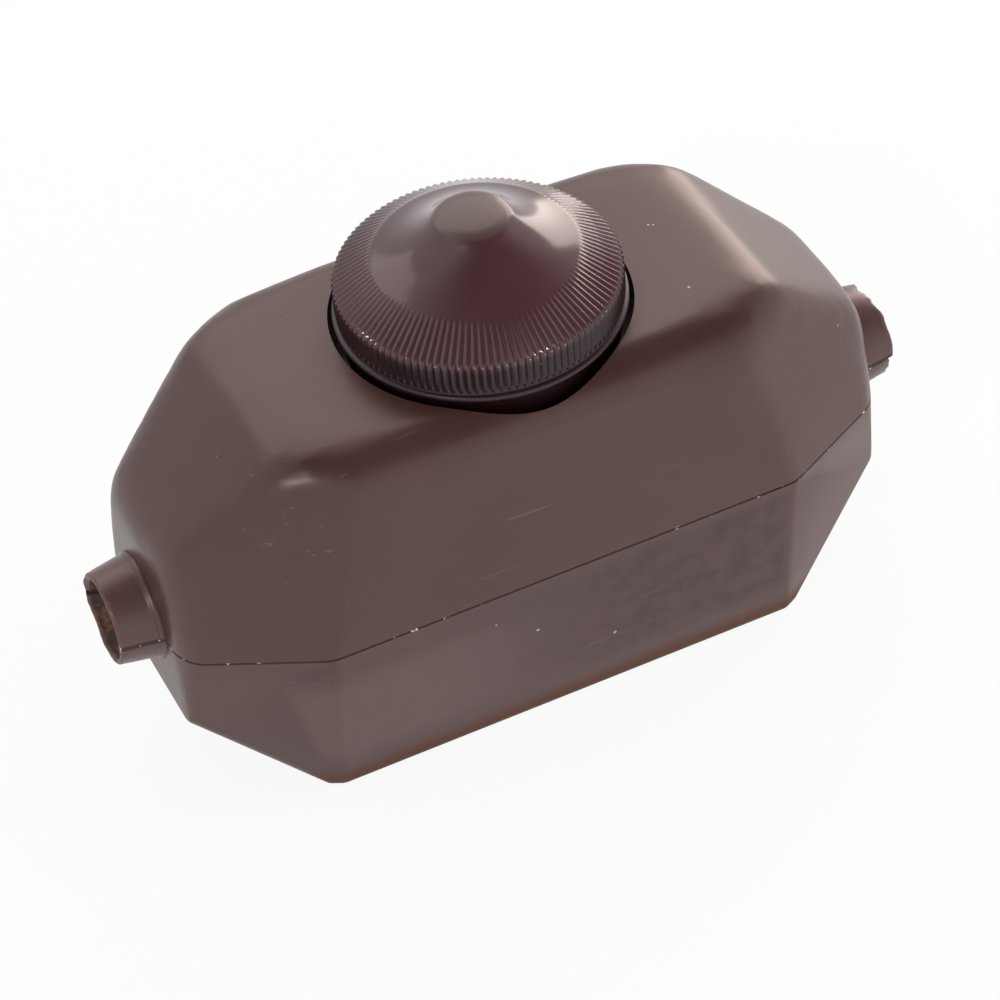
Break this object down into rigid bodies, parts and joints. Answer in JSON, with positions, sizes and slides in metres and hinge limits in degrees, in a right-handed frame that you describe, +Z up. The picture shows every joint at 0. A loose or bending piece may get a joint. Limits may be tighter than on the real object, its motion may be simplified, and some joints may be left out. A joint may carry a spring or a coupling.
{
  "type": "lamp dimmer switch",
  "caption": "Rotary in-line dimmer for a table lamp's cord: angular two-part moulded housing with a cord inlet at each end and a ribbed, bell-topped knob.",
  "frame": {"origin": "middle of the housing's flat foot, on the knob's axis", "axes": "+X along the cord, from the left inlet to the right one, as the picture shows them; +Y across the housing, away from the viewer; +Z up along the knob's axis"},
  "size_m": [0.1004, 0.0384, 0.0638],
  "materials": {
    "housing": "dark chocolate-brown moulded plastic, satin with fine scratches",
    "knob": "wine-brown moulded plastic, high gloss",
    "screw_steel": "plated steel screws",
    "bright_steel": "bright pressed steel",
    "brass": "plain brass",
    "wafer": "brown resin-bonded paper with a printed carbon track",
    "nylon": "natural nylon",
    "lead_sleeve": "red insulated wire",
    "black_moulding": "black moulded plastic",
    "board": "tan resin-bonded paper board",
    "ferrite": "dark grey ferrite",
    "copper": "enamelled copper wire",
    "capacitor": "dipped orange-brown film capacitor",
    "resistor": "tan lacquered carbon resistor",
    "diac": "blue glass diode body",
    "glass": "clear glass tube",
    "aluminium": "bare aluminium sheet",
    "terminal_body": "cream moulded terminal block"
  },
  "bodies": {
    "housing": {"upper_shell": "housing", "lower_shell": "housing", "housing_screws": "screw_steel", "pot_bushing": "brass", "pot_washer": "bright_steel", "pot_nut": "brass", "pot_can": "bright_steel", "pot_track": "wafer", "pot_terminals": "brass", "pot_leads": "lead_sleeve", "switch_case": "black_moulding", "switch_terminals": "brass", "switch_leads": "lead_sleeve", "circuit_board": "board", "board_screws": "screw_steel", "choke_core": "ferrite", "choke_winding": "copper", "filter_capacitor": "capacitor", "timing_capacitor": "capacitor", "resistors": "resistor", "diac": "diac", "fuse_glass": "glass", "fuse_caps": "bright_steel", "fuse_clips": "brass", "triac": "black_moulding", "heat_sink": "aluminium", "sink_screw": "screw_steel", "sink_nut": "screw_steel", "input_terminal": "terminal_body", "output_terminal": "terminal_body", "terminal_screws": "screw_steel", "input_cord_clamp": "black_moulding", "output_cord_clamp": "black_moulding", "clamp_screws": "screw_steel"},
    "rotor": {"knob": "knob", "pot_shaft": "bright_steel", "pot_wiper": "nylon", "wiper_contact": "brass"}
  },
  "joints": [
    {"name": "knob_turn", "type": "hinge", "parent": "housing", "child": "rotor", "pos_m": [0, 0, 0.05], "axis": [0, 0, 1], "range_deg": [-140, 140]}
  ]
}
